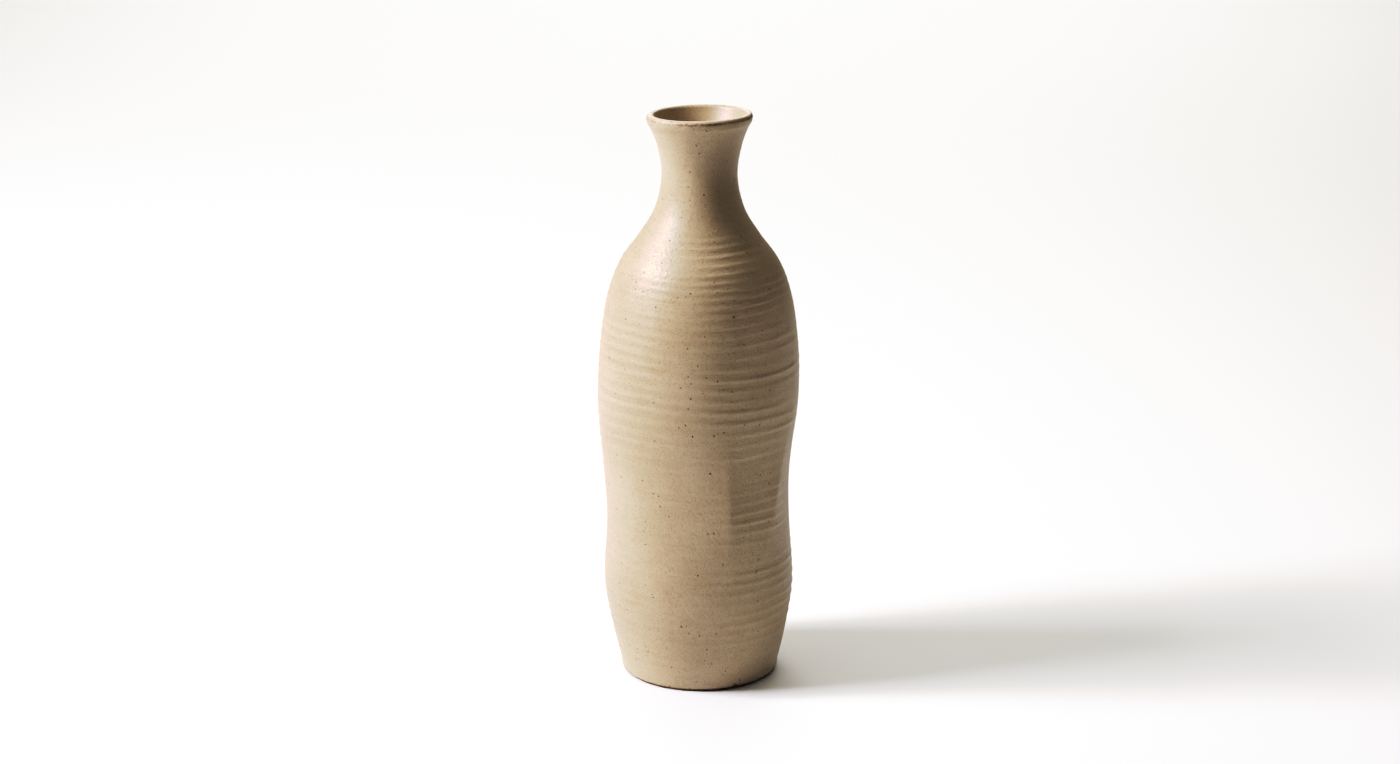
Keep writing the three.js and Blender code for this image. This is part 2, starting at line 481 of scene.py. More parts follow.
@dataclass(frozen=True)
class OuterRelief:
    """Everything that stands out of or sinks into the smooth outside, in millimetres."""

    form: VaseForm
    rings: ThrowingRings = ThrowingRings()
    marks: tuple[FingerMark | PinchedEdge, ...] = (
        PinchedEdge(angle=17.5, height=98, size=2.7, reach=8.2, spread=21, slant=-0.02, softness=0.8),
        PinchedEdge(angle=53.5, height=105, size=1.6, reach=8.0, spread=19, slant=0.36, softness=1.5),
        FingerMark(angle=-104, height=84, size=0.45, reach=5.0, spread=20, slant=-0.08),
        FingerMark(angle=148, height=92, size=0.60, reach=5.5, spread=26, slant=0.05),
        FingerMark(angle=-148, height=104, size=0.50, reach=6.0, spread=24, slant=-0.05),
    )
    lump_size: float = 0.24
    ripple_size: float = 0.07
    # The lip's bead, which stands under its top, and the small roll over the foot's edge.
    bead_size: float = 0.45
    bead_drop: float = 2.1
    bead_spread: float = 1.3
    foot_roll: float = 0.28
    foot_roll_height: float = 3.4
    foot_roll_spread: float = 1.0
    # The relief fades in between two heights over the foot, and out between two depths under the lip.
    fade_in: tuple[float, float] = (3, 16)
    fade_out: tuple[float, float] = (22, 6)
    deepest: float = -0.55

    def at(self, angle: Array, height: Array) -> Array:
        """The relief on the outer face: rings + finger marks + soft lumps + ripples + bead + foot roll.

        Args:
            angle: Angles in degrees.
            height: Heights on the smooth outline, in millimetres.

        Returns:
            The distance out of the smooth face, never deeper than the coat's own thickness allows.
        """
        lip = self.form.lip_height
        fade = smooth(height, *self.fade_in)
        fade = fade * (1 - smooth(height, lip - self.fade_out[0], lip - self.fade_out[1]))
        lumps = self.lump_size * WallNoise(seed=5, across=12, cell_height=26).at(angle, height)
        ripples = self.ripple_size * WallNoise(seed=7, across=34, cell_height=8).at(angle, height)
        marks = sum(mark.relief(angle, height) for mark in self.marks)
        total = fade * (lumps + ripples + marks + self.rings.relief(angle, height))
        total = total + self.bead_size * bell(height - lip + self.bead_drop, self.bead_spread)
        total = total + self.foot_roll * bell(height - self.foot_roll_height, self.foot_roll_spread)
        return np.maximum(total, self.deepest)


# ---- Meshes ----


class Field(Enum):
    """The numbers that the meshes keep on their points for the finishes."""

    THIN_AND_SHADE = "glaze_thin_and_lip_shade"
    RIDGE = "ring_ridge"
    CORE = "speck_core"
    SKIN = "skin_relief"
    SHADE_AND_TONE = "neck_shade_and_foot_tone"


def grid_faces(rows: int, columns: int, closed: bool) -> Array:
    """The quads of a grid that closes on itself round the pot, and along the outline where it is closed.

    Each quad runs along the row first and then to the next row, so that it faces out of a piece whose
    outline goes up its outer side.
    """
    last = rows if closed else rows - 1
    row, column = np.meshgrid(np.arange(last), np.arange(columns), indexing="ij")
    after, beside = (row + 1) % rows, (column + 1) % columns
    corners = [row * columns + column, row * columns + beside,
               after * columns + beside, after * columns + column]
    return np.stack(corners, axis=-1).reshape(-1, 4)


def pole_faces(ring_start: int, columns: int, pole: int, first: bool) -> Array:
    """The triangles from a ring of points to a pole, which comes before the first ring or after the last."""
    here = ring_start + np.arange(columns)
    beside = ring_start + (np.arange(columns) + 1) % columns
    centre = np.full(columns, pole)
    return np.stack([centre, beside, here] if first else [here, beside, centre], axis=1)


def add_piece(name: str, points: Array, faces: Sequence[Array], material: Material,
              fields: Mapping[Field, Array] | None = None) -> Object:
    """Makes a smooth-shaded object at the origin from points in millimetres and arrays of faces.

    Args:
        name: The piece's name.
        points: The points, one row each.
        faces: Arrays of faces, each array with its own number of corners.
        material: The finish.
        fields: Numbers for each point, kept on the mesh under these names.

    Returns:
        The new object.
    """
    mesh = bpy.data.meshes.new(name)
    mesh.vertices.add(len(points))
    mesh.vertices.foreach_set("co", (points * MM).astype(np.float32).ravel())
    corners = np.concatenate([part.ravel() for part in faces])
    sizes = np.concatenate([np.full(len(part), part.shape[1]) for part in faces])
    mesh.loops.add(len(corners))
    mesh.loops.foreach_set("vertex_index", corners.astype(np.int32))
    mesh.polygons.add(len(sizes))
    mesh.polygons.foreach_set("loop_start", np.concatenate([[0], np.cumsum(sizes)[:-1]]).astype(np.int32))
    mesh.polygons.foreach_set("loop_total", sizes.astype(np.int32))
    mesh.polygons.foreach_set("use_smooth", np.ones(len(sizes), bool))
    for key, values in (fields or {}).items():
        layer = mesh.attributes.new(key.value, "FLOAT", "POINT")
        layer.data.foreach_set("value", values.astype(np.float32).ravel())
    mesh.update(calc_edges=True)
    mesh.validate()
    mesh.materials.append(material)
    piece = bpy.data.objects.new(name, mesh)
    bpy.context.scene.collection.objects.link(piece)
    log.info("%s: %d points, %d faces", name, len(points), len(sizes))
    return piece


# ---- Shader maths ----


def operator(operation: str, swapped: bool = False) -> Callable[["Value", "Number"], "Value"]:
    """A method that joins a value and another number by a Math node, in the other order where swapped."""
    def apply(self: "Value", other: "Number") -> "Value":
        """The node's result."""
        first, second = (other, self) if swapped else (self, other)
        return self.shader.math(operation, first, second)
    return apply


class Value:
    """A shader socket that carries a number. Arithmetic on it adds Math nodes to its tree."""

    def __init__(self, shader: "Shader", socket: Socket) -> None:
        """Wraps a socket of a shader's tree."""
        self.shader = shader
        self.socket = socket

    __add__ = __radd__ = operator("ADD")
    __sub__ = operator("SUBTRACT")
    __rsub__ = operator("SUBTRACT", swapped=True)
    __mul__ = __rmul__ = operator("MULTIPLY")

    def step(self, low: float, high: float) -> "Value":
        """A smooth step of the value, from 0 at low to 1 at high; it falls where high is below low."""
        rising = low < high
        sockets = {"Value": self, "From Min": min(low, high), "From Max": max(low, high),
                   "To Min": float(not rising), "To Max": float(rising)}
        node = self.shader.node("ShaderNodeMapRange", {"interpolation_type": "SMOOTHSTEP"}, sockets)
        return Value(self.shader, node.outputs["Result"])


Number = Value | float
Colour = tuple[float, float, float]


class Shader:
    """A material's node tree, with one method that makes any node."""

    def __init__(self, name: str) -> None:
        """Makes an empty material of that name."""
        self.material = bpy.data.materials.new(name)
        self.material.use_nodes = True
        self.tree = self.material.node_tree
        self.tree.nodes.clear()

    def node(self, kind: str, settings: Mapping[str, object],
             sockets: Mapping[str | int, object]) -> bpy.types.Node:
        """Adds a node.

        Args:
            kind: The node's type.
            settings: Its properties, set first.
            sockets: A number, a colour, a Value or an output socket for each named or numbered input.

        Returns:
            The new node.
        """
        node = self.tree.nodes.new(kind)
        for name, value in settings.items():
            setattr(node, name, value)
        for name, value in sockets.items():
            source = value.socket if isinstance(value, Value) else value
            if isinstance(source, Socket):
                self.tree.links.new(source, node.inputs[name])
            else:
                node.inputs[name].default_value = source
        return node

    def math(self, operation: str, a: Number, b: Number) -> Value:
        """A Math node on two numbers."""
        node = self.node("ShaderNodeMath", {"operation": operation}, {0: a, 1: b})
        return Value(self, node.outputs[0])

    def grains(self, grain: float, shift: float, stretch: Colour = (1, 1, 1)) -> Socket:
        """The object's own coordinates counted in grains of a size, moved by a shift in grains."""
        place = self.node("ShaderNodeTexCoord", {}, {}).outputs["Object"]
        sockets = {"Vector": place, "Scale": [s / (grain * MM) for s in stretch], "Location": [shift] * 3}
        return self.node("ShaderNodeMapping", {}, sockets).outputs[0]

    def noise(self, grain: float, detail: float = 2.0, roughness: float = 0.5,
              stretch: Colour = (1, 1, 1), shift: float = 0.0) -> Value:
        """Noise in about 0 to 1 over the object's own coordinates.

        Args:
            grain: The size of one grain, in millimetres.
            detail: How many finer layers are added.
            roughness: How strong the finer layers are.
            stretch: How much the pattern is squeezed along each axis; a smaller number draws it out.
            shift: Moves the pattern, in grains, so that two noises of one grain differ.

        Returns:
            The noise's value.
        """
        place = self.grains(grain, shift, stretch)
        sockets = {"Vector": place, "Scale": 1.0, "Detail": detail, "Roughness": roughness}
        return Value(self, self.node("ShaderNodeTexNoise", {}, sockets).outputs[0])

    def cells(self, grain: float, shift: float = 0.0) -> tuple[Value, Value]:
        """Points scattered one to a cell: the distance to the nearest, in cells, and its own number."""
        node = self.node("ShaderNodeTexVoronoi", {}, {"Vector": self.grains(grain, shift), "Scale": 1.0})
        split = self.node("ShaderNodeSeparateColor", {}, {"Color": node.outputs["Color"]})
        return Value(self, node.outputs["Distance"]), Value(self, split.outputs[0])

    def field(self, name: Field) -> Value:
        """A number that is kept on the mesh's points."""
        node = self.node("ShaderNodeAttribute", {"attribute_name": name.value}, {})
        return Value(self, node.outputs["Fac"])

    def layered(self, base: Colour, layers: Sequence[tuple[Number, Colour]]) -> Socket:
        """A colour with others laid over it in order, each by its share."""
        colour = (*base, 1.0)
        for share, over in layers:
            sockets = {0: share, 6: colour, 7: (*over, 1.0)}
            settings = {"data_type": "RGBA", "blend_type": "MIX", "clamp_factor": True}
            colour = self.node("ShaderNodeMix", settings, sockets).outputs[2]
        return colour

    def bump(self, layers: Sequence[tuple[Value, float]]) -> Socket:
        """The normal after a chain of Bump nodes, one for each height and its depth in millimetres."""
        normal = None
        for height, depth in layers:
            sockets = {"Height": height, "Distance": depth * MM, "Strength": 1.0}
            if normal is not None:
                sockets["Normal"] = normal
            normal = self.node("ShaderNodeBump", {}, sockets).outputs["Normal"]
        return normal

    def surface(self, colour: Socket, roughness: Number, normal: Socket,
                coat: float = 0.0, coat_roughness: float = 0.3) -> Material:
        """Ends the tree in a Principled shader, and returns the material."""
        shader = self.node("ShaderNodeBsdfPrincipled", {}, {
            "Base Color": colour, "Roughness": roughness, "Normal": normal, "IOR": REFRACTION,
            "Coat Weight": coat, "Coat Roughness": coat_roughness})
        self.node("ShaderNodeOutputMaterial", {}, {"Surface": shader.outputs[0]})
        return self.material


# ---- Finishes ----


@dataclass(frozen=True)
class StonewareGlaze:
    """A satin sandy glaze that breaks brown where it is thin, over an iron-bearing clay, with painted shade
    laid into its colour at the lip and the neck.
    """

    name: str
    body: Colour = (0.433, 0.341, 0.221)
    pale: Colour = (0.489, 0.391, 0.265)
    warm: Colour = (0.419, 0.308, 0.185)
    deep: Colour = (0.262, 0.185, 0.105)
    broken: Colour = (0.150, 0.078, 0.032)
    fleck: Colour = (0.120, 0.062, 0.030)
    lighter_foot: Colour = (0.575, 0.464, 0.317)
    roughness: float = 0.48
    coat: float = 0.02

    def material(self) -> Material:
        """Builds the finish: clouds of tone, painted shade on the neck's right side, a lighter tone towards the
        foot, sandy grain, flecks, brown breaks darkened to the right of the lip as painted shade, pebbled skin.
        """
        shader = Shader(self.name)
        clouds = shader.noise(grain=28, detail=2.5)
        patches = shader.noise(grain=10, detail=3.0, shift=3.7)
        grain = shader.noise(grain=0.95, detail=2.5, roughness=0.60)
        sand = shader.noise(grain=2.0, detail=2.0, roughness=0.6, shift=8.1)
        draw = shader.noise(grain=1.9, detail=3.0, roughness=0.6, stretch=(0.07, 0.07, 1.0), shift=1.3)
        tone, ridge, thin = (shader.field(name) for name in (Field.SHADE_AND_TONE, Field.RIDGE, Field.THIN_AND_SHADE))
        spot, chance = shader.cells(grain=4.6)
        flecks = spot.step(0.13, 0.06) * chance.step(0.50, 0.60)
        # The brown break: thin glaze, darkened further to the right of the lip as painted shade.
        edge = (thin + (grain - 0.5) * 0.85 + (sand - 0.5) * 0.6).step(0.26, 0.98)
        colour = shader.layered(self.body, (
            (clouds.step(0.32, 0.70) * 0.7, self.pale),
            (patches.step(0.50, 0.72) * 0.45, self.warm),
            # Painted shade on the neck's right side where the field is above 0, and a lighter tone towards the
            # foot where it is below 0.
            (tone.step(0.0, 1.0), self.deep),
            (tone.step(0.0, -1.0), self.lighter_foot),
            (ridge.step(0.35, -0.9) * 0.26, self.deep),
            (ridge.step(0.3, 1.3) * 0.22, self.pale),
            (draw.step(0.50, 0.72) * 0.12, self.deep),
            (grain.step(0.50, 0.72) * 0.50, self.deep),
            (grain.step(0.47, 0.28) * 0.24, self.pale),
            (flecks * 0.8, self.fleck),
            (edge, self.broken),
        ))
        skin = (grain * 0.45 + sand * 0.55) * shader.field(Field.SKIN)
        normal = shader.bump([(skin, 0.33), (1 - flecks, 0.08), (draw, 0.05)])
        roughness = self.roughness + (grain - 0.5) * 0.20 + flecks * 0.15 - edge * 0.06
        return shader.surface(colour, roughness, normal, coat=self.coat, coat_roughness=0.32)


@dataclass(frozen=True)
class FiredClay:
    """Bare stoneware, toasted by the kiln, with sand and iron in it."""

    name: str
    body: Colour = (0.330, 0.205, 0.110)
    toast: Colour = (0.235, 0.120, 0.055)
    sand: Colour = (0.560, 0.410, 0.265)
    iron: Colour = (0.070, 0.035, 0.018)

    def material(self) -> Material:
        """Builds the finish: toasted clouds, pale sand, dark iron, and a dry open skin."""
        shader = Shader(self.name)
        clouds = shader.noise(grain=17, detail=3.0)
        grain = shader.noise(grain=0.9, detail=3.0, roughness=0.65)
        coarse = shader.noise(grain=2.2, detail=2.0, shift=4.4)
        spot, chance = shader.cells(grain=2.4, shift=2.2)
        iron = spot.step(0.20, 0.10) * chance.step(0.62, 0.68)
        colour = shader.layered(self.body, (
            (clouds.step(0.40, 0.68) * 0.7, self.toast),
            (grain.step(0.55, 0.75) * 0.5, self.sand),
            (iron * 0.8, self.iron),
        ))
        normal = shader.bump([(coarse, 0.25), (grain, 0.30)])
        return shader.surface(colour, 0.86 - (grain - 0.5) * 0.15, normal)


@dataclass(frozen=True)
class IronMelt:
    """Iron that melted out of the clay through the glaze: near black in the middle, brown at its rim."""

    name: str
    middle: Colour = (0.052, 0.025, 0.013)
    rim: Colour = (0.165, 0.095, 0.050)

    def material(self) -> Material:
        """Builds the finish: the speck's own core number, roughened by a fine grain, from rim to middle."""
        shader = Shader(self.name)
        grain = shader.noise(grain=0.35, detail=2.0)
        core = (shader.field(Field.CORE) + (grain - 0.5) * 0.7).step(0.15, 0.75)
        colour = shader.layered(self.rim, [(core, self.middle)])
        return shader.surface(colour, 0.42 + grain * 0.2, shader.bump([(grain, 0.04)]))


@dataclass(frozen=True)
class PalePaper:
    """The plain seamless sheet that the vase stands on."""

    name: str
    tone: Colour = (0.86, 0.855, 0.845)
    fibre: Colour = (0.80, 0.795, 0.78)

    def material(self) -> Material:
        """Builds the finish: a pale tone with a hardly visible grain."""
        shader = Shader(self.name)
        grain = shader.noise(grain=1.5, detail=2.0)
        colour = shader.layered(self.tone, [(grain * 0.04, self.fibre)])
        return shader.surface(colour, 0.75 + grain * 0.05, shader.bump([(grain, 0.02)]))


# ---- The pieces ----


@dataclass
class OuterCoat:
    """The outer glaze: up the outside from the foot, over the lip and down to the seam in the mouth."""

    form: VaseForm
    relief: OuterRelief
    thickness: float = 0.6
    columns: int = 208
    hidden_stride: int = 8
    lip_steps: int = 20
    edge_steps: int = 4
    spacing_heights: tuple[float, ...] = (2, 6, 14, 232, 244, 284, 292, 297)
    spacings: tuple[float, ...] = (0.45, 0.6, 0.80, 0.80, 1.3, 1.3, 0.5, 0.45)
    inner_spacing: float = 0.6
    # The glaze's lower edge wanders a little and has one nick. That fades out between two heights.
    edge_wander: float = 0.35
    edge_drop: float = 0.6
    edge_heights: tuple[float, float] = (2.5, 7.5)
    nick_angle: float = 26.5
    nick_reach: float = 1.1
    nick_rise: float = 1.5
    # The brown break line at the outside of the lip: its width, and where it is stronger; the break itself is
    # thin glaze, and its extra strength to the right is painted shade.
    break_width: float = 0.72
    break_rise: float = 0.75
    break_shade_angle: float = 62.0
    break_shade_reach: float = 75.0
    break_least: float = 0.38
    break_shade_gain: float = 0.36
    break_wander: float = 0.16
    foot_thinning: float = 0.14
    foot_thin_heights: tuple[float, float] = (2.2, 3.6)
    # Painted shade on the right side of the neck, and how much lighter the glaze is over the foot, with the
    # places.
    neck_shade: float = 0.58
    neck: Spot = Spot(angle=38, height=272, reach=24, spread=19)
    foot_tone: float = 0.52
    foot_lighter_heights: tuple[float, float] = (6, 36)
    # How much of the pebbled skin is left inside the mouth, and the share of a ring that counts as 1.
    inner_skin: float = 0.3
    ridge_scale: float = 0.5

    def face(self) -> Outline:
        """The clay face under this coat."""
        outside = self.form.wall().spaced(self.spacing_heights, self.spacings)
        inside = self.form.inside().evenly(self.inner_spacing)
        face = self.form.glazed_face(outside, inside, self.lip_steps)
        return face.part(slice(0, self.form.coat_seam(face)))

    def outline(self) -> tuple[Outline, Array]:
        """The closed outline of the coat, and 1 for the places in the open and 0 for those against the clay.

        The open side is the face lifted by gap + thickness, the hidden side is the face lifted by the gap,
        and a half circle of the coat's thickness joins them at each end.
        """
        face = self.face()
        over = face.lifted(self.form.coat_gap + self.thickness)
        under = face.thinned(self.hidden_stride).lifted(self.form.coat_gap).reversed()
        ends = []
        for place, half in ((face.part(slice(-1, None)), math.pi), (face.part(slice(0, 1)), -math.pi)):
            centre = place.lifted(self.form.coat_gap + self.thickness / 2).points[0]
            start = math.atan2(place.outs[0, 1], place.outs[0, 0])
            arc = Outline.arc(centre, self.thickness / 2, start, start - half, self.edge_steps)
            ends.append(arc.part(slice(1, -1)))
        line = Outline.joined(over, ends[0], under, ends[1].reversed())
        is_open = np.concatenate([np.ones(len(over.points)), np.zeros(len(line.points) - len(over.points))])
        return line, is_open

    def surface(self, line: Outline, is_open: Array, angle: Array) -> Array:
        """The points of the coat on a grid: the relief is added along the outs on the outer face only."""
        height = line.points[:, 1:2]
        relief = self.outer_side(line, is_open) * self.relief.at(angle, height)
        radius = line.points[:, 0:1] + relief * line.outs[:, 0:1]
        rise = self.edge_rise(angle) * (1 - smooth(height, *self.edge_heights))
        lifted = height + relief * line.outs[:, 1:2] + rise
        return self.form.shaped(radius, lifted, angle)

    def outer_side(self, line: Outline, is_open: Array) -> Array:
        """1 for the places in the open that come before the top of the lip, and 0 for the others."""
        before = np.arange(len(is_open)) < np.argmax(line.points[:, 1])
        return (is_open * before)[:, None]

    def edge_rise(self, angle: Array) -> Array:
        """How much higher the lower edge stands than the clay's hem: a wander less a drop, and the nick."""
        wander = WallNoise(seed=41, across=22, cell_height=50).at(angle, np.zeros(1))
        nick = self.nick_rise * bell(apart(angle, self.nick_angle), self.nick_reach)
        return self.edge_wander * (0.5 + 0.5 * wander) - self.edge_drop + nick

    def thin_and_shade_field(self, line: Outline, is_open: Array, angle: Array) -> Array:
        """How thin the glaze is, with painted shade: a line at the lip, made stronger to the right as painted
        shade on the lip's shaded side, and the foot's edge.
        """
        places = line.points[:, 1:2]
        lip = bell(places - self.form.lip_height - self.break_rise, self.break_width)
        lip = lip * self.outer_side(line, is_open)
        # Stronger towards the right: painted shade on the lip's shaded outer face.
        side = self.break_least + self.break_shade_gain * bell(apart(angle, self.break_shade_angle), self.break_shade_reach)
        wander = self.break_wander * WallNoise(seed=53, across=40, cell_height=50).at(angle, np.zeros(1))
        foot = self.foot_thinning * (1 - smooth(places, *self.foot_thin_heights)) * is_open[:, None]
        return lip * (side + wander) + foot

    def shade_and_tone_field(self, angle: Array, height: Array) -> Array:
        """Painted shade and tone: above 0 for painted shade on the right of the neck, below 0 where the glaze
        is lighter towards the foot.
        """
        lighter_foot = self.foot_tone * (1 - smooth(height, *self.foot_lighter_heights))
        # The neck's part is painted shade on the right side of the neck.
        return self.neck.bells(angle, height, self.neck_shade) - lighter_foot

    def build(self, material: Material) -> Object:
        """Makes the piece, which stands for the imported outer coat."""
        line, is_open = self.outline()
        angle, height = columns_round(self.columns), line.points[:, 1:2]
        points = self.surface(line, is_open, angle)
        outer, rings = self.outer_side(line, is_open), self.relief.rings
        ridge = outer * rings.relief(angle, height) / (rings.size * self.ridge_scale)
        skin = np.where(outer > 0, 1.0, self.inner_skin) * np.ones_like(ridge)
        fields = {Field.THIN_AND_SHADE: self.thin_and_shade_field(line, is_open, angle), Field.RIDGE: ridge,
                  Field.SKIN: skin, Field.SHADE_AND_TONE: outer * self.shade_and_tone_field(angle, height)}
        faces = grid_faces(len(is_open), self.columns, closed=True)
        piece = add_piece("outer_glaze_coat", points.reshape(-1, 3), [faces], material, fields)
        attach(piece, "root")
        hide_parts("outer_glaze")
        return piece


@dataclass
class TurnedShell:
    """A solid whose outline starts and ends on the axis, closed there by poles."""

    form: VaseForm
    columns: int

    def points_and_faces(self, line: Outline, relief: Array,
                         angle: Array) -> tuple[Array, list[Array]]:
        """The grid of a line between two poles, with a relief along the outs.

        Args:
            line: The outline, whose first and last places are the poles.
            relief: The relief at each grid point.
            angle: The angles of the columns.

        Returns:
            The points, poles last, and the faces of the grid and of the two fans.
        """
        line.points[[0, -1], 0] = 0.0
        radius = line.points[:, 0:1] + relief * line.outs[:, 0:1]
        height = line.points[:, 1:2] + relief * line.outs[:, 1:2]
        ring = self.form.shaped(radius[1:-1], height[1:-1], angle)
        poles = np.array([[0.0, 0.0, height[0].mean()], [0.0, 0.0, height[-1].mean()]])
        rows = len(line.points) - 2
        count = rows * self.columns
        faces = [
            grid_faces(rows, self.columns, closed=False),
            pole_faces(0, self.columns, count, first=True),
            pole_faces(count - self.columns, self.columns, count + 1, first=False),
        ]
        return np.concatenate([ring.reshape(-1, 3), poles]), faces


@dataclass
class LinerCoat(TurnedShell):
    """The liner glaze: from the seam in the mouth down the inside to the middle of the floor."""

    columns: int = 132
    thickness: float = 0.5
    spacing_heights: tuple[float, ...] = (0, 266, 276, 300)
    spacings: tuple[float, ...] = (1.9, 1.9, 0.35, 0.35)
    hidden_stride: int = 4
    lip_steps: int = 12
    ring_size: float = 0.22
    ring_pitch: float = 6.5
    ring_wander: float = 1.5
    ring_share: float = 0.6
    lump_share: float = 0.5
    # The rings fade in and out between these lengths from either end of the open side.
    fade_lengths: tuple[float, float] = (2, 14)
    noise_length: float = 300.0
    skin: float = 0.3

    def build(self, material: Material) -> Object:
        """Makes the piece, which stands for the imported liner. Soft finger rings run down its open side."""
        inside = self.form.inside().spaced(self.spacing_heights, self.spacings)
        face = self.form.glazed_face(self.form.wall().part(slice(-2, None)), inside, self.lip_steps)
        below = face.part(slice(self.form.coat_seam(face) + 1, None))
        under = below.thinned(self.hidden_stride).lifted(self.form.coat_gap).reversed()
        over = below.lifted(self.form.coat_gap + self.thickness)
        line = Outline.joined(under, over)
        angle = columns_round(self.columns)
        along = np.concatenate([np.zeros(len(under.points)), over.lengths()])[:, None]
        is_open = np.r_[np.zeros(len(under.points)), np.ones(len(over.points))][:, None]
        start, full = self.fade_lengths
        fade = is_open * smooth(along, start, full)
        fade = fade * (1 - smooth(along, along.max() - full, along.max() - start))
        lumps = WallNoise(seed=61, across=9, cell_height=22).at(angle, along % self.noise_length)
        turns = along / self.ring_pitch - angle / 360.0
        rings = np.cos(2 * np.pi * turns + self.ring_wander * lumps)
        relief = self.ring_size * fade * (self.ring_share * rings + self.lump_share * lumps)
        points, faces = self.points_and_faces(line, relief, angle)
        blank = np.zeros(len(points))
        fields = {Field.THIN_AND_SHADE: blank, Field.RIDGE: blank, Field.SHADE_AND_TONE: blank, Field.SKIN: blank + self.skin}
        piece = add_piece("liner_glaze_coat", points, faces, material, fields)
        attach(piece, "root")
        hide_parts("liner_glaze")
        return piece


@dataclass
class ClayBody(TurnedShell):
    """The fired clay: the trimmed underside and foot, the bare hem, and the wall between the two coats."""

    columns: int = 168
    wall_spacing: float = 3.4
    lip_steps: int = 8
    under_spacing: float = 0.55
    edge_steps: int = 6
    groove_size: float = 0.09
    groove_pitch: float = 1.9
    chatter: float = 0.8
    hub_size: float = 0.5
    hub_reach: float = 1.6
    # The foot's corners are rounded over this length, and the ring ends this far inside its edge.
    softness: float = 0.5
    ring_margin: float = 0.4
    # The grooves fade in at these radii, and out at these distances inside the ring.
    groove_start: tuple[float, float] = (1.0, 4.0)
    groove_end: tuple[float, float] = (4.0, 1.5)

    def underside(self) -> Outline:
        """The trimmed foot from the axis out: the recess, its sloping side, the ring, and the edge."""
        form, soft = self.form, self.softness
        standing, recess, deep = form.standing_radius, form.recess_radius, form.recess_depth
        corners = np.array([
            (0.0, deep), (recess - deep - soft, deep), (recess - deep, deep - soft / 5),
            (recess - soft / 2, soft * 0.4), (recess + soft, 0.0), (standing - self.ring_margin, 0.0),
        ])
        flat = Outline(corners, np.tile([0.0, -1.0], (len(corners), 1)))
        along = np.arange(0, flat.lengths()[-1], self.under_spacing)
        points = np.stack([np.interp(along, flat.lengths(), c) for c in corners.T], axis=1)
        ring = Outline(points, np.tile([0.0, -1.0], (len(points), 1)))
        edge = Outline.arc((standing, form.foot_edge), form.foot_edge, -math.pi / 2, 0.0, self.edge_steps)
        return Outline.joined(ring, edge)

    def build(self, material: Material) -> Object:
        """Makes the piece, which stands for the packed clay. Trimming grooves ring its recess."""
        outside, inside = (side.evenly(self.wall_spacing) for side in (self.form.wall(), self.form.inside()))
        face = self.form.glazed_face(outside, inside, self.lip_steps)
        under = self.underside()
        line = Outline.joined(under, face)
        angle = columns_round(self.columns)
        radius = line.points[:, 0:1]
        trimmed = (np.arange(len(line.points)) < len(under.points))[:, None]
        end = [self.form.recess_radius - inside for inside in self.groove_end]
        inner = trimmed * smooth(radius, *self.groove_start) * (1 - smooth(radius, *end))
        chatter = WallNoise(seed=71, across=16, cell_height=3).at(angle, radius)
        grooves = np.cos(2 * np.pi * (radius / self.groove_pitch + angle / 360.0)) + self.chatter * chatter
        hub = self.hub_size * trimmed * bell(radius, self.hub_reach)
        relief = -self.groove_size * inner * (1 + grooves) + hub
        points, faces = self.points_and_faces(line, relief, angle)
        piece = add_piece("fired_clay_body", points, faces, material)
        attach(piece, "root")
        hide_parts("clay_body")
        return piece


